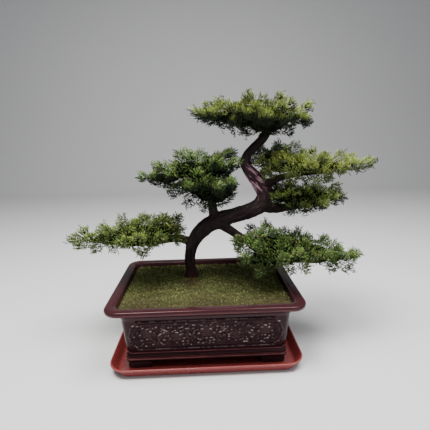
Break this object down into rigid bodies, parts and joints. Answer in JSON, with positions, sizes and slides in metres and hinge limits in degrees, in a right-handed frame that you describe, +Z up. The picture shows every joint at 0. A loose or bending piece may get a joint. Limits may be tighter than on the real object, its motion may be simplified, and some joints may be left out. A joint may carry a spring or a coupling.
{
  "type": "pine bonsai",
  "caption": "Slanting conifer bonsai with layered foliage pads, growing through moss in a low rectangular glazed pot that stands on a drip tray.",
  "frame": {"origin": "centre of the drip tray's underside", "axes": "+Z up; +X to the right along the pot's long side, seen from the front; -Y to the front"},
  "size_m": [0.6933, 0.2987, 0.5683],
  "materials": {
    "tray": "glossy red-brown, moulded",
    "pot": "dark purple-brown glaze, glossy",
    "screen": "matte dark green",
    "soil": "matte, granular",
    "moss": "matte, short green moss",
    "bark": "rough bark with pale dead-wood streaks",
    "foliage_young": "matte, bright yellow-green needles",
    "foliage_mature": "matte, mid to dark green needles"
  },
  "bodies": {
    "root": {"tray": "tray", "pot": "pot", "drain_screen_left": "screen", "drain_screen_right": "screen", "soil": "soil", "moss": "moss", "trunk": "bark", "pad_top": "foliage_young", "pad_left_middle": "foliage_mature", "pad_right_upper": "foliage_young", "pad_right_middle": "foliage_mature", "pad_back": "foliage_mature", "pad_left_lower": "foliage_mature", "pad_right_lower": "foliage_mature"}
  },
  "joints": []
}
